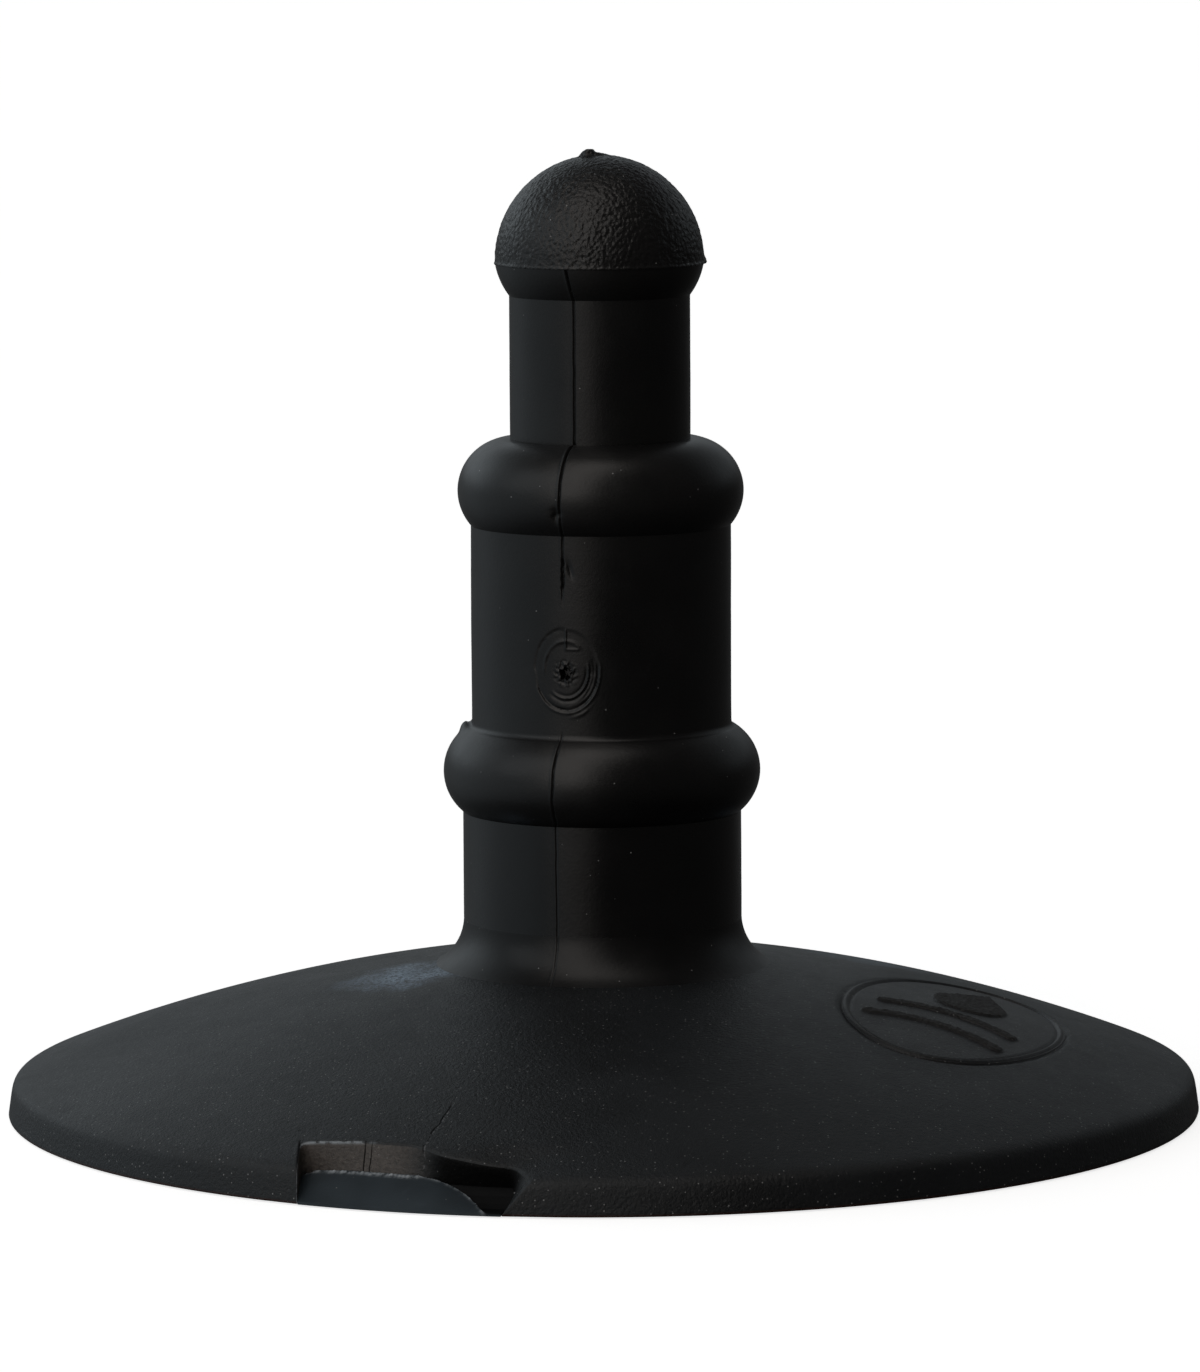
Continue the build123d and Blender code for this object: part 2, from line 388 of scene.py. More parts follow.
def torn_nub(points):
    """Raises the stump of the sprue at the top, leaning with a tail to the right."""
    x, y = points[:, 0], points[:, 1]
    body = np.hypot((x + 1.45) / 0.85, (y + 0.2) / 0.95)
    stump = 1.0 - ease(0.35, 1.35, body + 0.45 * noise(points, 0.7))
    tail = (1 - ease(0.35, 0.8, np.abs(y + 0.2))) * ease(-1.9, -1.2, x) * (1 - ease(-0.9, 1.9, x))
    room = DOME_TOP + NUB_HEIGHT - 0.02 - points[:, 2]
    lift = np.clip(0.66 * stump + 0.38 * tail, 0, None)
    points[:, 2] += np.minimum(lift, room) * (points[:, 2] > 117.5)
    return points


def make_dome():
    piece = turned(
        "knob_dome_moulded", dome_profile, dome_relief, columns=np.arange(0, 360, 0.6),
        tip=(0.0, 0.0, DOME_TOP), seam=False,
    )
    mesh = piece.data
    co = np.zeros(len(mesh.vertices) * 3)
    mesh.vertices.foreach_get("co", co)
    co = torn_nub(co.reshape(-1, 3) * 1000.0)
    mesh.vertices.foreach_set("co", (co * 0.001).ravel())
    mesh.update()
    return piece


dome = make_dome()


# --- cup: rings of closed sections ---
def ring_solid(name, loops):
    """A closed ring from one section loop per column."""
    columns, count = loops.shape[:2]
    faces = quads(columns, count, close_rows=True)
    return make_piece(name, loops, faces)


def badge_local(points):
    """Points of the cup in the badge's own plan."""
    a = math.radians(-BADGE_TURN)
    x, y = points[..., 0] - BADGE_CENTRE[0], points[..., 1] - BADGE_CENTRE[1]
    return x * math.cos(a) - y * math.sin(a), x * math.sin(a) + y * math.cos(a)


def badge_inside(u, v):
    """How far a point of the cup lies inside the badge's edge, in mm."""
    rho = np.hypot(u / BADGE_HALF[0], v / BADGE_HALF[1]) + 1e-9
    steep = np.hypot(u / BADGE_HALF[0] ** 2, v / BADGE_HALF[1] ** 2) / rho + 1e-9
    return (1 - rho) / steep


def badge_floor(inside):
    """The seat of the badge below the crown: level with it at the edge, and sunk within."""
    return -BADGE_SUNK * ease(0.15, 1.1, inside)


def cup_waves(points):
    """The crown's slight unevenness."""
    return 0.04 * noise(points, 19.0) + 0.006 * noise(points, 6.0)


def web_points(azimuths):
    """The web's sections, with the badge's seat sunk into them."""
    top_r = np.concatenate([np.linspace(21.0, 65.9, 112), [66.0]])
    under_r = np.linspace(66.0, 21.0, 22)
    top = np.stack([top_r, crown_z(top_r)], 1)
    under = np.stack([under_r, on_arc(under_r, hollow_centre, hollow_radius)], 1)
    loop = np.vstack([top, [(66.0, 6.0)], under, [(21.0, 16.6)]])
    points = place(loop[None, :, 0], azimuths[:, None], loop[None, :, 1])
    upper_part = np.zeros(len(loop), bool)
    upper_part[: len(top)] = True
    face = points[:, upper_part]
    inside = badge_inside(*badge_local(face))
    ends = ease(21.0, 23.0, loop[upper_part, 0]) * (1 - ease(64.0, 66.0, loop[upper_part, 0]))
    groove = -0.26 * bell(inside + 0.10, 0.22)
    drop = badge_floor(inside) - 0.03 * ease(0.15, 0.5, inside) + groove
    points[:, upper_part, 2] += cup_waves(face) * ends[None, :] * (inside < 0) + drop
    return points


web = ring_solid("cup_web_moulded", web_points(np.arange(0, 360, 0.5)))

# --- suction lip with its notch ---
lip_arc_middle = (74.26, 4.12)
outer_run = chain(
    np.stack([np.linspace(69.0, 73.6, 14), crown_z(np.linspace(69.0, 73.6, 14))], 1),
    arc(CROWN[2], lip_arc_middle, LIP_CORNER, 10),
    line(LIP_CORNER, (74.985, 0.22), 9),
    arc((74.985, 0.22), (74.9, 0.05), (74.75, 0.0), 4),
    line((74.75, 0.0), (SEAL_INNER, 0.0), 6),
    line((SEAL_INNER, 0.0), (NOTCH_BACK, WALL_FOOT), 5),
)
inner_top = np.linspace(66.0, 69.0, 10)
lip_loop = np.vstack([
    np.stack([inner_top, crown_z(inner_top)], 1), outer_run[1:],
    line((NOTCH_BACK, WALL_FOOT), (WEB_OUTER, 4.5), 5)[1:], [(WEB_OUTER, 6.0)],
])
outer_rows = slice(len(inner_top) - 1, len(inner_top) + len(outer_run) - 1)
back_top = float(crown_z(NOTCH_BACK))
TOP_COUNT = 14  # points of the outer run that are on the crown
FLANK_START = 13.2  # where the notch's right flank begins, in the seam's frame
FLANK_WIDE, FLANK_RISE = 0.8, 5.0  # the flank's width at its foot, and how much that grows upwards
NOTCH_DEEP = CUP_RADIUS - NOTCH_BACK
LEFT_ROUND, TOP_ROUND = 2.0, 0.35  # roundings of the notch's left corner and left top edge
EDGE_ROW = outer_rows.start + TOP_COUNT - 1  # the crown's outer edge
FOOT_ROW = EDGE_ROW + 17  # the foot of the outer wall


def left_line(r):
    """The notch's left side, in the seam's frame."""
    return NOTCH_LEFT + NOTCH_SLANT * (np.maximum(r, NOTCH_BACK) - NOTCH_BACK)


def smoothed(points, times):
    """Rounds the corners of an open run of points, whose ends stay."""
    run = points.copy()
    for _ in range(times):
        run[1:-1] = 0.25 * run[:-2] + 0.5 * run[1:-1] + 0.25 * run[2:]
    return run


shoulder = slice(EDGE_ROW - 7, EDGE_ROW + 15)
lip_loop[shoulder] = smoothed(lip_loop[shoulder], 14)


def back_loop(x):
    """The lip's section at the notch's back wall. On the right its brow hangs over the scoop."""
    leans_back = 1.1 * float(ease(NOTCH_LEFT, -4.0, x) * (1 - ease(0.0, 6.0, x)))
    reach = NOTCH_BACK + 0.1 - leans_back + 1.7 * float(ease(0.0, 11.0, x))
    on_crown = np.linspace(WEB_OUTER, reach, EDGE_ROW + 1)
    loop = lip_loop.copy()
    loop[: EDGE_ROW + 1] = np.stack([on_crown, crown_z(on_crown)], 1)
    count = outer_rows.stop - EDGE_ROW
    loop[EDGE_ROW : outer_rows.stop] = line(loop[EDGE_ROW], (NOTCH_BACK, WALL_FOOT), count)
    part = slice(3, outer_rows.stop)
    softness = float(ease(-2.0, 8.0, x))
    loop[part] = smoothed(loop[part], 3) * (1 - softness) + smoothed(loop[part], 40) * softness
    return loop


def underside(r):
    """Height of the lip's underside between the notch's wall and the rim."""
    return WALL_FOOT * np.clip((SEAL_INNER - r) / (SEAL_INNER - NOTCH_BACK), 0, 1)


def stand_foot(loop, share):
    """Brings a cut section's lower edge down to the lip's underside, where the flank ends."""
    foot = loop[FOOT_ROW:outer_rows.stop]
    lip_foot = lip_loop[FOOT_ROW:outer_rows.stop]
    before = foot[0].copy()
    foot[:, 0] = NOTCH_BACK + (lip_foot[:, 0] - NOTCH_BACK) * (1 - share)
    rounding = lip_foot[:, 1] - underside(lip_foot[:, 0])
    foot[:, 1] = underside(foot[:, 0]) + rounding * (1 - share)
    wall = slice(EDGE_ROW, FOOT_ROW)
    along = np.linspace(0, 1, FOOT_ROW - EDGE_ROW, endpoint=False)[:, None]
    loop[wall] += along * (foot[0] - before)
    return loop


def lip_columns():
    """The lip's sections: the kind, the place across the notch, and the share of the cut."""
    columns = [("plain", angle, 0.0) for angle in np.arange(15.6, 348.2, 1.0)]
    columns += [("left", -step, 0.0) for step in (1.2, 0.8, 0.5, 0.36, 0.26, 0.18, 0.1, 0.03)]
    columns += [("left", 0.02 * t, 0.66 * t) for t in np.linspace(0.02, 1, 12)]
    for q in np.linspace(0.1, 1, 14) * math.pi / 2:
        columns.append(("left", 0.02 + LEFT_ROUND * (1 - math.cos(q)), 0.66 + 0.34 * math.sin(q)))
    columns += [("back", x, 1.0) for x in np.arange(NOTCH_LEFT + 2.35, 13.0, 0.3)]
    columns += [("right", t, 1.0 - float(ease(0, 1, t))) for t in np.linspace(0, 1, 40)]
    columns += [("right", 1.0 + step, 0.0) for step in (0.06, 0.14, 0.24)]
    return columns


def top_edge_drop(where):
    """How far the rounded top edge of the notch's left side has dropped, just left of that side."""
    if where >= 0.021:
        return 0.0
    into = max(0.0, TOP_ROUND + where)
    return min(TOP_ROUND, TOP_ROUND - math.sqrt(max(0.0, TOP_ROUND**2 - into**2)))


def lip_points():
    """The lip's sections, with a painted highlight on the notch wall's lit left part, a painted
    highlight along the notch's left edges, and painted shade in its right part, at each point.
    """
    loops, wall_highlight, flash_and_highlight, shade_and_cracks = [], [], [], []
    row = np.arange(len(lip_loop))
    on_cut = (row > EDGE_ROW + 1) & (row < outer_rows.stop)
    for kind, where, share in lip_columns():
        x_back = {
            "plain": 30.0, "left": NOTCH_LEFT, "back": where, "right": FLANK_START + 3.0 * where,
        }[kind]
        loop = lip_loop * (1 - share) + back_loop(x_back) * share
        if kind == "right":
            loop = stand_foot(loop, share)
        r, z = loop[:, 0], loop[:, 1].copy()
        if kind == "plain":
            x = r * math.sin(math.radians(where)) if abs(where) < 90 else np.full(len(r), 90.0)
            turn = np.full(len(r), float(where))
        elif kind == "left":
            x = left_line(r) + where
            on_top = slice(outer_rows.start + 1, outer_rows.start + TOP_COUNT + 12)
            z[on_top] -= (top_edge_drop(where) * (1 - share) * ease(69.0, 69.8, r))[on_top]
        elif kind == "back":
            x = np.full(len(r), float(where))
        else:
            x = FLANK_START + (FLANK_WIDE + FLANK_RISE * np.clip(z / back_top, 0, 1)) * where
        if kind != "plain":
            turn = np.degrees(np.arcsin(x / r))
        hollow = 0.75 * bell(x - 14.0, 3.4) * ease(66.5, 70.4, r)
        z = z - hollow * np.clip((z - 1.0) / (back_top - 1.0), 0, 1)
        loops.append(place(r, turn - SEAM_ANGLE, z))
        # Painted highlight: the notch's cut wall is painted light brown on its lit left part,
        # fading out to the right.
        to_right = ease(-3.0, 4.5, x_back)
        cut = 1.0 if share > 0.01 else 0.0
        wall_highlight.append(cut * on_cut * (1 - to_right))
        # Painted highlight along the rounded top edge of the notch's cut and down its left front
        # edge, on the left only.
        edge = bell(row - EDGE_ROW - 0.5, 0.9) * cut
        front = (abs(where) < 0.031 and share < 0.12) * (row > EDGE_ROW) * (row < EDGE_ROW + 20)
        on_left = (kind in ("left", "back")) * (1 - ease(-7.0, -2.5, x_back))
        flash_and_highlight.append(np.maximum(edge, 0.8 * front) * on_left)
        # Painted shade: the notch's cut darkens towards its right part, where it lies in shadow.
        shade_and_cracks.append(on_cut * share * ease(1.5, 6.0, x_back))
    loops = np.array(loops)
    from_web = ease(WEB_OUTER, 67.5, np.hypot(loops[..., 0], loops[..., 1]))
    loops[..., 2] += cup_waves(loops) * from_web * (loops[..., 2] > 3.2)
    return loops, wall_highlight, flash_and_highlight, shade_and_cracks


def paint(piece, name, values):
    """Stores a number at each point of a piece, for its material."""
    stored = np.asarray(values, np.float32).ravel()
    piece.data.attributes.new(name, "FLOAT", "POINT").data.foreach_set("value", stored)


lip_loops, lip_wall_highlight, lip_highlight, lip_shade = lip_points()
lip = ring_solid("suction_lip_moulded", lip_loops)
# Painted highlight on the lit left part of the notch's wall.
paint(lip, "wall_highlight", lip_wall_highlight)
# Painted highlight along the notch's top-left and front-left edges, stored with the tab's flash.
paint(lip, "flash", lip_highlight)
# Painted shade in the notch's right part.
paint(lip, "shade_and_cracks", lip_shade)


# --- lift tab ---
def to_cup(x, y):
    """From the seam's frame to the cup's."""
    a = math.radians(-SEAM_ANGLE)
    return x * math.cos(a) - y * math.sin(a), x * math.sin(a) + y * math.cos(a)


crescent_curve = arc(*CRESCENT, 60)
root_ends = [math.asin(x / NOTCH_BACK) for x in (NOTCH_LEFT, CRESCENT[0][0])]
root_angles = np.linspace(*root_ends, 60)
root_curve = (NOTCH_BACK + 0.35) * np.stack([np.sin(root_angles), -np.cos(root_angles)], 1)
FLASH_CURVE = np.vstack([root_curve, crescent_curve[1:]])
SCOOP_RUN, SCOOP_HEIGHTS = [NOTCH_BACK, 70.2, 71.6, CUP_RADIUS], [SCOOP_ROOT, 1.1, 0.20, TAB_EDGE]


def tab_points():
    """The tab's top and bottom, how much flash each of their points shows, and the painted shade in
    its scoop.
    """
    rows, across = 62, 190
    s = np.linspace(0, 1, across)[None, :]
    t = np.linspace(0, 1, rows)[:, None]
    r = NOTCH_BACK + TAB_GAP + (CUP_RADIUS - 0.015 - NOTCH_BACK - TAB_GAP) * t
    share = np.clip((r - NOTCH_BACK) / NOTCH_DEEP, 0, 1)
    along_flank = 0.5 - np.sin(np.arcsin(1 - 2 * share) / 3)  # undoes ease(0, 1, along_flank)
    right = FLANK_START - 0.03 + (FLANK_WIDE + FLANK_RISE * underside(r) / back_top) * along_flank
    left = left_line(r) + 0.05 + 1.0 * (1 - ease(0, 0.2, t)) ** 2
    x = left + (right - left) * s
    y = -np.sqrt(r**2 - x**2)
    ramp = TAB_ROOT + (TAB_EDGE - TAB_ROOT) * t + 0 * x
    scoop = np.interp(r, SCOOP_RUN, SCOOP_HEIGHTS) + 0 * x
    flat = np.stack([x, y], -1)
    gap = np.linalg.norm(flat[:, :, None, :] - FLASH_CURVE[None, None, ::2, :], axis=-1)
    near = gap.min(-1)
    on_scoop = np.where(x > CRESCENT[0][0], ease(0.25, -0.25, signed(x, y)), 0.0)
    from_left = x - left
    fall = 0.36 * (1 - ease(0, 6.5, from_left)) + 0.45 * (1 - ease(0, 1.4, from_left))
    ramp = ramp - (1 - t) * fall
    z = ramp * (1 - on_scoop) + scoop * on_scoop
    raggedness = 0.9 + 1.6 * noise(np.stack([x, y, 0 * x], -1), 0.9)
    z = z + 0.16 * bell(near, 0.17) * np.clip(raggedness, 0.1, 2.0)
    bottom = underside(r) + 0 * x
    z = np.maximum(z, bottom + 0.15)
    shown = bell(near, 0.20) * np.clip(raggedness, 0.1, 1.6)
    return x, y, z, bottom, shown, on_scoop


def signed(x, y):
    """Positive in front of the crescent's curve, on its ramp, and negative behind it."""
    away = np.stack([x, y], -1)[:, :, None, :] - crescent_curve[None, None, :, :]
    nearest = np.linalg.norm(away, axis=-1).argmin(-1)
    tangent = np.gradient(crescent_curve, axis=0)
    tx, ty = tangent[nearest][..., 0], tangent[nearest][..., 1]
    dx = x - crescent_curve[nearest][..., 0]
    dy = y - crescent_curve[nearest][..., 1]
    return -(tx * dy - ty * dx) / np.hypot(tx, ty)


def make_tab():
    x, y, z, bottom, shown, on_scoop = tab_points()
    rows, across = x.shape
    cx, cy = to_cup(x, y)
    top = np.stack([cx, cy, z], -1).reshape(-1, 3)
    under = np.stack([cx, cy, bottom], -1).reshape(-1, 3)
    grid = quads(rows, across, close_columns=False)
    size = rows * across
    faces = [f[::-1] for f in grid] + [[i + size for i in f] for f in grid]
    edge = list(range(across)) + [i * across + across - 1 for i in range(1, rows)]
    edge += [(rows - 1) * across + j for j in range(across - 2, -1, -1)]
    edge += [i * across for i in range(rows - 2, 0, -1)]
    for a, b in zip(edge, edge[1:] + edge[:1]):
        faces.append([a, b, b + size, a + size])
    piece = make_piece("lift_tab_moulded", np.vstack([top, under]), faces)
    paint(piece, "flash", np.concatenate([shown.ravel(), np.zeros(size)]))
    # Painted shade: the tab's scoop is painted near black.
    paint(piece, "shade_and_cracks", np.concatenate([on_scoop.ravel(), np.zeros(size)]))
    return piece


tab = make_tab()


# --- badge ---
WAVE_RADIUS, WAVE_HALF, WAVE_ENDS = 14.0, 0.9, (55, 125)


def wave_shape(u, v, foot):
    """Distance outside a curved bar, one wave of the motif."""
    y = v - foot
    angle = np.radians(np.clip(np.degrees(np.arctan2(y, u)), *WAVE_ENDS))
    return np.hypot(u - WAVE_RADIUS * np.cos(angle), y - WAVE_RADIUS * np.sin(angle)) - WAVE_HALF


def drop_shape(u, v):
    """Distance outside a drop."""
    round_part = np.hypot(u, v - 7.6) - 4.6
    side = np.abs(u) * math.cos(math.radians(29)) + (v - 17.1) * math.sin(math.radians(29))
    pointed = np.maximum(side, 9.8 - v)
    return np.minimum(round_part, pointed)


def badge_relief(u, v, inside, points):
    """The badge's relief, and how far each point is on the motif."""
    rough = 0.16 * noise(points, 0.7)
    waves = np.minimum(wave_shape(u, v, -14.6), wave_shape(u, v, -21.6))
    motif = np.minimum(drop_shape(u, v), waves)
    raised = 0.34 * (1 - ease(-0.10, 0.12, motif + rough))
    raised = raised * (0.8 + 0.5 * noise(points, 0.5))
    ring = 0.20 * bell(inside - 0.55, 0.20)
    grooves = 0.20 * bell(inside - 1.05, 0.15) + 0.25 * bell(inside, 0.14)
    return raised + ring - grooves, np.clip(raised / 0.3, 0, 1)


def make_badge():
    a, b = BADGE_HALF
    share = np.concatenate([[0.004], np.linspace(0.02, 0.92, 66), np.linspace(0.925, 1.0, 26)])
    turn = np.radians(np.arange(0, 360, 1.0))
    u = share[:, None] * a * np.cos(turn)[None, :]
    v = share[:, None] * b * np.sin(turn)[None, :]
    q = math.radians(BADGE_TURN)
    x = BADGE_CENTRE[0] + u * math.cos(q) - v * math.sin(q)
    y = BADGE_CENTRE[1] + u * math.sin(q) + v * math.cos(q)
    z = crown_z(np.hypot(x, y))
    base = np.stack([x, y, z], -1)
    inside = np.maximum(badge_inside(u, v), 0.0)
    top = base.copy()
    relief, motif = badge_relief(u, v, inside, base)
    top[..., 2] += relief + cup_waves(base) * ease(0, 2, inside)
    under = base.copy()
    under[..., 2] += badge_floor(inside) - 0.01
    under[-1, :, 2] = top[-1, :, 2] - 0.10
    rows, count = u.shape
    size = rows * count
    faces = quads(rows, count)
    faces = faces + [[i + size for i in f[::-1]] for f in faces]
    faces.append(list(range(count))[::-1])
    faces.append([size + j for j in range(count)])
    last = (rows - 1) * count
    for j in range(count):
        k = (j + 1) % count
        faces.append([last + k, last + j, size + last + j, size + last + k])
    points = np.vstack([top.reshape(-1, 3), under.reshape(-1, 3)])
    piece = make_piece("oval_badge_moulded", points, faces)
    paint(piece, "motif", np.concatenate([motif.ravel(), np.zeros(size)]))
    return piece


badge = make_badge()


def face_outwards(piece):
    """Turns every face of a closed piece outwards."""
    bm = bmesh.new()
    bm.from_mesh(piece.data)
    bmesh.ops.recalc_face_normals(bm, faces=bm.faces)
    bm.to_mesh(piece.data)
    bm.free()
    piece.data.update()


# --- materials ---
class Graph:
    """Short calls for building a node tree."""

    def __init__(self, tree):
        self.nodes, self.links = tree.nodes, tree.links

    def add(self, kind, values=None, **settings):
        node = self.nodes.new(kind)
        for key, value in settings.items():
            setattr(node, key, value)
        for key, value in (values or {}).items():
            if isinstance(value, bpy.types.NodeSocket):
                self.links.new(value, node.inputs[key])
            else:
                node.inputs[key].default_value = value
        return node

    def math(self, operation, a, b=0.0, clamp=False):
        node = self.add("ShaderNodeMath", {0: a, 1: b}, operation=operation, use_clamp=clamp)
        return node.outputs[0]

    def vector(self, operation, a, b=(0.0, 0.0, 0.0), result=0):
        node = self.add("ShaderNodeVectorMath", {0: a, 1: b}, operation=operation)
        return node.outputs[result]

    def spread(self, value, low, high, to_low=0.0, to_high=1.0):
        return self.add("ShaderNodeMapRange", {
            "Value": value, "From Min": low, "From Max": high, "To Min": to_low, "To Max": to_high,
        }, interpolation_type="SMOOTHSTEP").outputs["Result"]

    def noise(self, where, scale, detail=2.0, roughness=0.5, distortion=0.0):
        return self.add("ShaderNodeTexNoise", {
            "Vector": where, "Scale": scale, "Detail": detail, "Roughness": roughness,
            "Distortion": distortion,
        }).outputs["Fac"]

    def mix(self, factor, a, b):
        node = self.add("ShaderNodeMix", data_type="RGBA")
        for socket, value in ((node.inputs[0], factor), (node.inputs[6], a), (node.inputs[7], b)):
            if isinstance(value, bpy.types.NodeSocket):
                self.links.new(value, socket)
            else:
                socket.default_value = value
        return node.outputs[2]

    def near(self, where, centre, size):
        """1 at a place in metres, falling to 0 at size metres away on each axis."""
        moved = self.vector("SUBTRACT", where, centre)
        scaled = self.vector("MULTIPLY", moved, [1 / s for s in size])
        return self.spread(self.vector("LENGTH", scaled, result="Value"), 0.25, 1.0, 1.0, 0.0)

    def painted(self, name):
        """What paint() stored at each point."""
        return self.add("ShaderNodeAttribute", attribute_name=name).outputs["Fac"]

    def finish(self, shader):
        out = self.add("ShaderNodeOutputMaterial")
        self.links.new(shader.outputs["BSDF"], out.inputs["Surface"])


def new_material(name):
    material = bpy.data.materials.new(name)
    material.use_nodes = True
    material.node_tree.nodes.clear()
    return material, Graph(material.node_tree)


SPECK, BLOOM, BROWN = (0.50, 0.50, 0.50, 1), (0.33, 0.44, 0.57, 1), (0.060, 0.022, 0.014, 1)
# Of the colours just below, the light brown one is a painted highlight for the notch wall's lit
# left part.
# Of the colours just below, the pale blue-grey one is the tab's flash and a painted highlight on
# the notch's left edges.
CHIPPED, WALL_HIGHLIGHT, FLASH_AND_HIGHLIGHT_TONE = (0.4, 0.4, 0.42, 1), (0.170, 0.146, 0.128, 1), (0.55, 0.60, 0.64, 1)
# Of the colours just below, the near black one is painted shade in the notch's recess and the black
# of the cup's cracks.
MOTIF, SHADE_AND_CRACK_BLACK = (0.010, 0.0075, 0.006, 1), (0.003, 0.0028, 0.0026, 1)


def crack(g, where, azimuth, inner, outer, width, wander):
    """1 along a fine radial line of the cup between two radii in metres, and 0 elsewhere."""
    a = math.radians(azimuth)
    along = g.vector("DOT_PRODUCT", where, (math.sin(a), -math.cos(a), 0), "Value")
    across = g.vector("DOT_PRODUCT", where, (math.cos(a), math.sin(a), 0), "Value")
    shake = g.math("MULTIPLY", g.math("SUBTRACT", g.noise(where, 260.0, 3.0), 0.5), wander)
    across = g.math("ABSOLUTE", g.math("ADD", across, shake))
    span = g.math("MULTIPLY", g.spread(along, inner, inner + 0.0008),
                  g.spread(along, outer, outer + 0.0002, 1.0, 0.0))
    return g.math("MULTIPLY", g.spread(across, width * 0.4, width, 1.0, 0.0), span)


def cup_marks(g, where, base):
    """The cup's pale bloom, its brown lower edge and its fine cracks; the cracks come back too."""
    shake = g.add("ShaderNodeTexNoise", {"Vector": where, "Scale": 190.0, "Detail": 4.0})
    shake = g.vector("SUBTRACT", shake.outputs["Color"], (0.5, 0.5, 0.5))
    shifted = g.vector("ADD", where, g.vector("MULTIPLY", shake, (0.016, 0.016, 0.0)))
    patch = g.near(shifted, (-0.0262, -0.0065, 0.0185), (0.0120, 0.0100, 0.0035))
    second = g.near(shifted, (0.0345, 0.0216, 0.0158), (0.0150, 0.0110, 0.0035))
    speckle = g.spread(g.noise(where, 2200.0, 5.0, 0.75), 0.36, 0.58)
    bloom = g.math("MULTIPLY", g.math("ADD", patch, g.math("MULTIPLY", second, 0.40)), speckle)
    base = g.mix(g.math("MULTIPLY", bloom, 0.9, True), base, BLOOM)
    low = g.add("ShaderNodeSeparateXYZ", {0: where}).outputs[2]
    radius = g.vector("LENGTH", g.vector("MULTIPLY", where, (1.0, 1.0, 0.0)), result="Value")
    at_edge = g.math("MULTIPLY", g.spread(low, 0.00015, 0.00045, 0.75, 0.0),
                     g.spread(radius, 0.0743, 0.0747))
    base = g.mix(at_edge, base, BROWN)
    gaps = g.spread(g.noise(where, 800.0, 2.0), 0.40, 0.52)
    line_crack = crack(g, where, -18.0, 0.0574, 0.0688, 0.00014, 0.0014)
    splits = g.math("ADD", crack(g, where, -24.4, 0.0676, 0.0696, 0.00013, 0.0004),
                    crack(g, where, -23.7, 0.0676, 0.0696, 0.00010, 0.0004))
    dents = g.math("ADD", g.math("MULTIPLY", line_crack, gaps), splits, True)
    base = g.mix(dents, base, (0.001, 0.001, 0.001, 1))
    chips = g.math("MULTIPLY", crack(g, where, -17.85, 0.0574, 0.0688, 0.00022, 0.0014),
                   g.spread(g.noise(where, 1500.0, 2.0), 0.56, 0.64))
    return g.mix(g.math("MULTIPLY", chips, 0.25), base, CHIPPED), dents


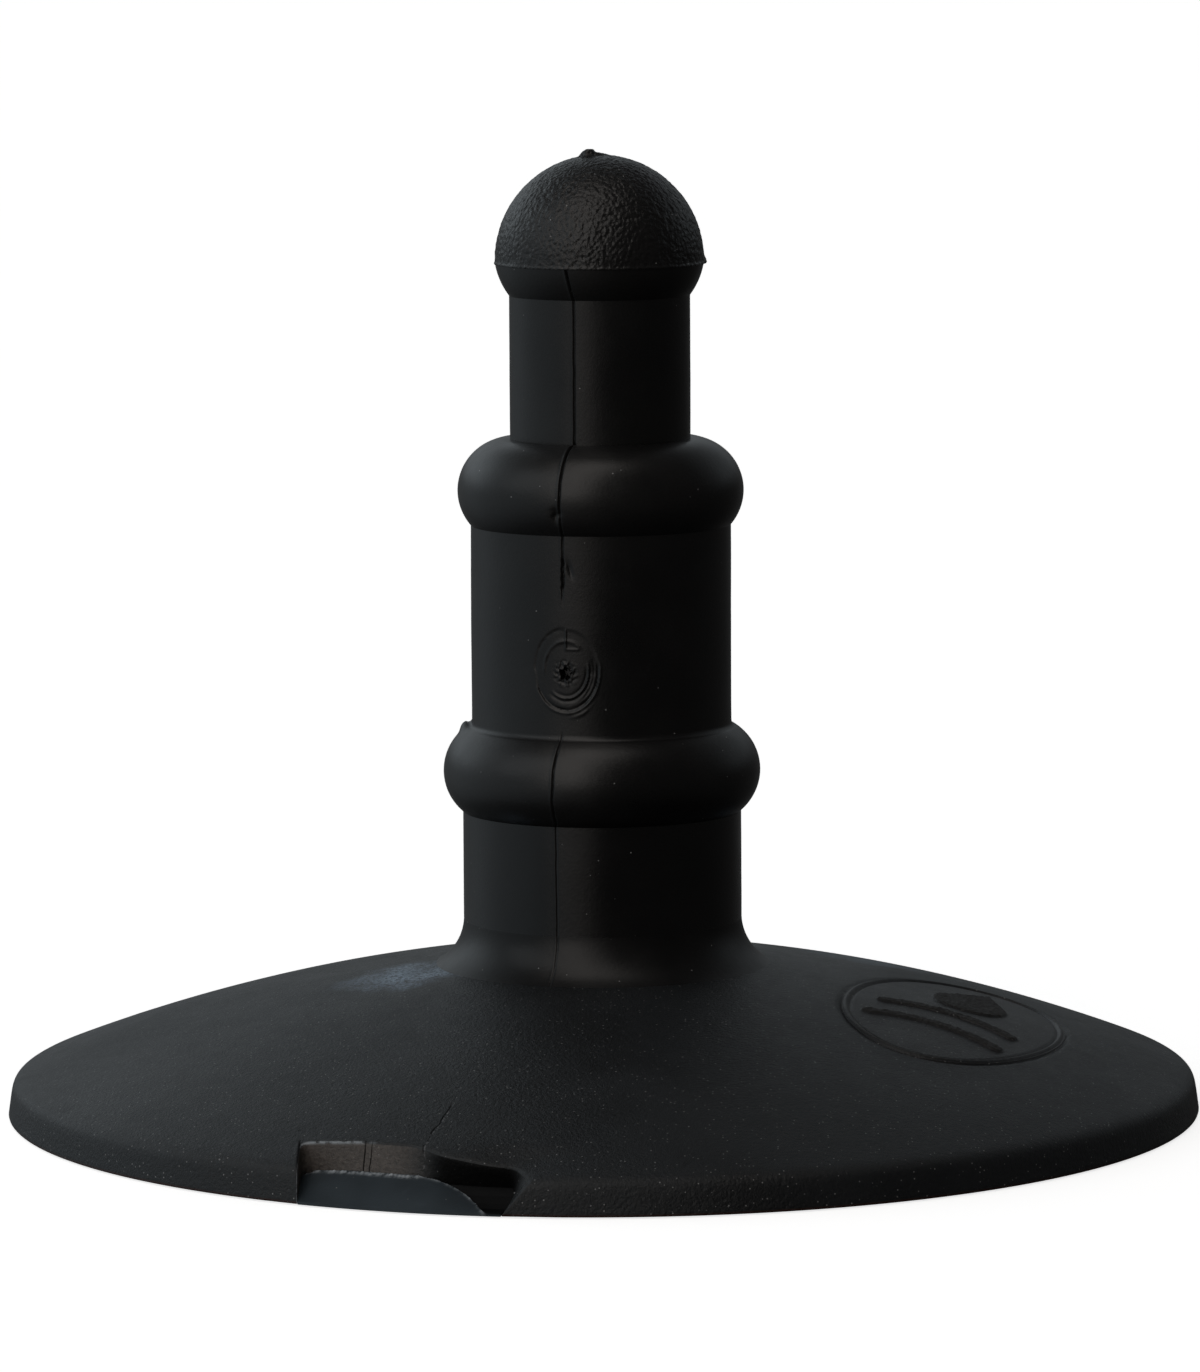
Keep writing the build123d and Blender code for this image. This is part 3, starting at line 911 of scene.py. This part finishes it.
def rubber(name, colour, roughness, grain, specks=0.3, leather=0.0, cup=False, shine=0.5):
    """Black rubber; grain and leather set its bumps, and specks how many pale dots lie on it."""
    material, g = new_material(name)
    where = g.add("ShaderNodeTexCoord").outputs["Object"]
    broad = g.noise(where, 45.0, 3.0, 0.55)
    mottle = g.noise(where, 420.0, 4.0, 0.6)
    fine = g.noise(where, 2100.0, 4.0, 0.7)
    dark = [c * 0.72 for c in colour] + [1]
    light = [c * 1.35 for c in colour] + [1]
    base = g.mix(g.spread(broad, 0.35, 0.65), dark, light)
    base = g.mix(g.spread(mottle, 0.58, 0.78, 0.0, 0.3), base, [c * 2.0 for c in colour] + [1])
    dots = g.add("ShaderNodeTexVoronoi", {"Vector": where, "Scale": 2000.0, "Randomness": 1.0})
    dot_size = g.add("ShaderNodeSeparateColor", {0: dots.outputs["Color"]})
    rare = g.spread(dot_size.outputs[0], 1.0 - 0.10 * specks, 1.0 - 0.05 * specks)
    dot = g.math("MULTIPLY", g.spread(dots.outputs["Distance"], 0.10, 0.23, 1.0, 0.0), rare)
    base = g.mix(g.math("MULTIPLY", dot, 0.6), base, SPECK)
    rough = g.math("ADD", g.spread(broad, 0.3, 0.7, roughness - 0.05, roughness + 0.05),
                   g.spread(mottle, 0.35, 0.7, -0.015, 0.02))
    dents = 0.0
    if cup:
        base, dents = cup_marks(g, where, base)
    # Painted highlight: the lit left part of the notch's cut wall is painted light brown.
    lit_wall = g.math("MULTIPLY", g.painted("wall_highlight"), g.spread(fine, 0.3, 0.7, 0.55, 1.0))
    base = g.mix(g.math("MULTIPLY", lit_wall, 0.8), base, WALL_HIGHLIGHT)
    # The tab's pale flash line, and a painted highlight along the notch's left edges.
    broken = g.spread(g.noise(where, 1400.0, 3.0, 0.6), 0.34, 0.54)
    flash_and_highlight = g.math("MULTIPLY", g.painted("flash"), broken)
    base = g.mix(g.math("MULTIPLY", flash_and_highlight, 0.75, True), base, FLASH_AND_HIGHLIGHT_TONE)
    motif = g.painted("motif")
    base = g.mix(g.math("MULTIPLY", motif, 0.8), base, MOTIF)
    rough = g.math("ADD", rough, g.math("MULTIPLY", motif, 0.28))
    # Painted shade: the notch's right part and the tab's scoop go near black, rougher and less
    # shiny; the cup's cracks are added in.
    shade_and_cracks = g.math("ADD", g.painted("shade_and_cracks"), dents, True)
    base = g.mix(g.math("MULTIPLY", shade_and_cracks, 0.92), base, SHADE_AND_CRACK_BLACK)
    rough = g.math("ADD", rough, g.math("MULTIPLY", shade_and_cracks, 0.25))
    height = g.math("ADD", g.math("MULTIPLY", fine, grain),
                    g.math("MULTIPLY", mottle, grain * 0.12))
    height = g.math("SUBTRACT", height, g.math("MULTIPLY", dents, 0.4))
    if leather:
        cells = g.add("ShaderNodeTexVoronoi", {"Vector": where, "Scale": 1900.0},
                      feature="SMOOTH_F1")
        creases = g.noise(where, 1400.0, 3.0, 0.6, 0.7)
        for bumps in (cells.outputs["Distance"], creases):
            height = g.math("ADD", height, g.math("MULTIPLY", bumps, leather))
    bump = g.add("ShaderNodeBump", {"Height": height, "Strength": 0.55, "Distance": 0.00012})
    shader = g.add("ShaderNodeBsdfPrincipled", {
        "Base Color": base, "Roughness": rough, "Normal": bump.outputs["Normal"],
        "Specular IOR Level": g.spread(shade_and_cracks, 0.0, 1.0, shine, 0.14), "IOR": 1.5,
    })
    g.finish(shader)
    return material


cup_rubber = rubber(
    "cup_rubber_grained", (0.010, 0.0115, 0.0130), 0.42, 3.0, specks=3.0, cup=True,
)
badge_rubber = rubber("badge_rubber_grained", (0.0095, 0.0098, 0.0105), 0.40, 2.4, specks=2.0)
# Painted reflection: a lighter, bluish copy of the rubber stands in for the sky's sheen on the
# tab's upward ramp.
tab_rubber_sheen = rubber("tab_rubber_smooth_painted_sheen", (0.034, 0.046, 0.056), 0.38, 0.35, specks=0.3)
smooth_rubber = rubber("handle_rubber_satin", (0.0085, 0.0083, 0.0083), 0.32, 0.35, specks=0.14)
foot_rubber = rubber(
    "foot_rubber_satin", (0.0085, 0.0083, 0.0083), 0.34, 0.35, specks=0.14, shine=0.36,
)
# Painted shade: a darker copy of the handle's rubber stands in for the lower ring's shadow on the
# neck.
neck_rubber_shaded = rubber("neck_rubber_satin_painted_shade", (0.0070, 0.0068, 0.0068), 0.25, 0.35, specks=0.14)
rough_rubber = rubber(
    "knob_rubber_leathery", (0.0095, 0.0092, 0.0092), 0.25, 0.6, specks=0.3, leather=2.2,
)

# --- bodies, replaced nodes and finishes ---
RIDERS = [
    (lip, "cup", "suction_lip", "cup_rubber", cup_rubber),
    (badge, None, "oval_badge", "cup_rubber", badge_rubber),
    (web, None, "cup_web", "cup_rubber", cup_rubber),
    (tab, "tab", "lift_tab", "smooth_rubber", tab_rubber_sheen),
    (foot, "hub", "handle_foot", "smooth_rubber", foot_rubber),
    (neck, None, "handle_neck", "smooth_rubber", neck_rubber_shaded),
    (lower_ring, "grip", "lower_grip_ring", "smooth_rubber", smooth_rubber),
    (middle, "grip", "middle_grip", "smooth_rubber", smooth_rubber),
    (upper_ring, "grip", "upper_grip_ring", "smooth_rubber", smooth_rubber),
    (upper, "grip", "upper_grip", "smooth_rubber", smooth_rubber),
    (skirt, "grip", "knob_skirt", "smooth_rubber", smooth_rubber),
    (dome, "grip", "knob_dome", "rough_rubber", rough_rubber),
]
for piece, body, node, finish, material in RIDERS:
    face_outwards(piece)
    piece.data.materials.append(material)
    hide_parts(node)
    if body:
        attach(piece, body)
for piece in (web, badge):
    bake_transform(piece)
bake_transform(neck)

# --- floor, backdrop and light ---
scene = bpy.context.scene


def pale(name, glow, white):
    """Pale paper that glows a little, so that it stays even."""
    material, g = new_material(name)
    shader = g.add("ShaderNodeBsdfPrincipled", {
        "Base Color": (white, white, white, 1), "Roughness": 0.9,
        "Emission Color": (1, 1, 1, 1), "Emission Strength": glow,
    })
    g.finish(shader)
    return material


def stage_mesh(name, points, faces, material):
    mesh = bpy.data.meshes.new(name)
    mesh.from_pydata(points, [], faces)
    mesh.materials.append(material)
    thing = bpy.data.objects.new(name, mesh)
    scene.collection.objects.link(thing)
    thing.visible_glossy = False
    thing.visible_diffuse = False
    return thing


REACH, FLOOR_Z, SIDES = 12.0, -0.0002, 96
corners = [(-REACH, -REACH), (REACH, -REACH), (REACH, REACH), (-REACH, REACH)]
stage_mesh(
    "floor", [(x, y, FLOOR_Z) for x, y in corners], [(0, 1, 2, 3)], pale("floor_paper", 0.78, 0.8),
)
turns = np.linspace(0, math.tau, SIDES + 1)[:-1]
wall_rim = [(REACH * math.cos(t), REACH * math.sin(t)) for t in turns]
backdrop = stage_mesh(
    "backdrop", [(x, y, z) for z in (-20.0, 20.0) for x, y in wall_rim],
    [(i, (i + 1) % SIDES, SIDES + (i + 1) % SIDES, SIDES + i) for i in range(SIDES)],
    pale("backdrop_paper", 1.0, 0.0),
)
backdrop.visible_shadow = False

world = bpy.data.worlds.new("studio")
scene.world = world
world.use_nodes = True
world.node_tree.nodes.clear()
g = Graph(world.node_tree)
way = g.add("ShaderNodeSeparateXYZ", {0: g.add("ShaderNodeTexCoord").outputs["Generated"]})
to_left = g.math("MULTIPLY", way.outputs[0], -1.0)


def toward(azimuth):
    """How far each direction points towards an azimuth."""
    a = math.radians(azimuth)
    return g.math("ADD", g.math("MULTIPLY", way.outputs[0], math.sin(a)),
                  g.math("MULTIPLY", way.outputs[1], -math.cos(a)))


height = way.outputs[2]
above = g.spread(height, -1.15, -0.02, 0.0, 1.0)
panel = g.spread(to_left, 0.30, 0.98, 0.0, 0.30)
strip = g.math("MULTIPLY", g.spread(g.math("ABSOLUTE", toward(64.0)), 0.10, 0.42, 1.0, 0.0),
               g.math("MULTIPLY", g.spread(toward(-26.0), -0.15, 0.2),
                      g.spread(height, -0.22, 0.30, 0.14, 1.05)))
band = g.math("MULTIPLY", g.spread(height, 0.0, 0.28), g.spread(height, 0.40, 0.85, 1.0, 0.10))
haze = g.math("MULTIPLY", g.spread(way.outputs[1], 0.0, 0.6), band)
haze = g.math("MULTIPLY", haze, g.spread(to_left, -0.3, 0.75, 0.17, 0.62))
behind = g.math("MULTIPLY", g.spread(way.outputs[1], 0.75, 1.0, 0.0, 0.05),
                g.spread(to_left, -0.5, 0.3, 0.5, 1.6))
lobes = [
    (panel, (0.82, 0.93, 1.0, 1)), (strip, (1.0, 0.945, 0.90, 1)), (haze, (0.84, 0.94, 1.0, 1)),
    (behind, (0.9, 0.97, 1.0, 1)), (0.034, (1.0, 0.98, 0.97, 1)),
]
light_sum = None
for strength, colour in lobes:
    strength = g.math("MULTIPLY", strength, above)
    sky = g.add("ShaderNodeBackground", {"Color": colour, "Strength": strength}).outputs[0]
    if light_sum:
        sky = g.add("ShaderNodeAddShader", {0: light_sum, 1: sky}).outputs[0]
    light_sum = sky
world.node_tree.links.new(light_sum, g.add("ShaderNodeOutputWorld").inputs["Surface"])


def panel_light(name, azimuth, elevation, distance, width, height, power, colour):
    light = bpy.data.lights.new(name, "AREA")
    light.shape, light.size, light.size_y = "RECTANGLE", width, height
    light.energy, light.color = power, colour
    thing = bpy.data.objects.new(name, light)
    a, e = math.radians(azimuth), math.radians(elevation)
    out = Matrix.Identity(3).col[0].copy()
    out.xyz = (math.sin(a) * math.cos(e), -math.cos(a) * math.cos(e), math.sin(e))
    thing.location = out * distance
    thing.location.z += 0.05
    thing.rotation_mode = "QUATERNION"
    thing.rotation_quaternion = out.to_track_quat("Z", "Y")
    scene.collection.objects.link(thing)
    return thing


panel_light("soft_key", -68.0, 34.0, 1.3, 0.7, 0.9, 0.8, (0.95, 0.98, 1.0))

# --- camera: slightly above the front, looking a little down ---
PITCH, ROLL = math.radians(6.88), math.radians(0.30)
forward = np.array([0, math.cos(PITCH), -math.sin(PITCH)])
level_right, level_up = np.array([1.0, 0, 0]), np.array([0, math.sin(PITCH), math.cos(PITCH)])
right = math.cos(ROLL) * level_right - math.sin(ROLL) * level_up
up = math.sin(ROLL) * level_right + math.cos(ROLL) * level_up
camera_data = bpy.data.cameras.new("camera")
camera_data.lens, camera_data.sensor_width, camera_data.clip_start = 192.5, 36.0, 0.05
camera = bpy.data.objects.new("camera", camera_data)
place_row = (-0.0002, -0.9145, 0.1636)
camera.matrix_world = Matrix([
    [right[i], up[i], -forward[i], place_row[i]] for i in range(3)
] + [[0, 0, 0, 1]])
scene.collection.objects.link(camera)
scene.camera = camera
scene.view_settings.view_transform = "Standard"
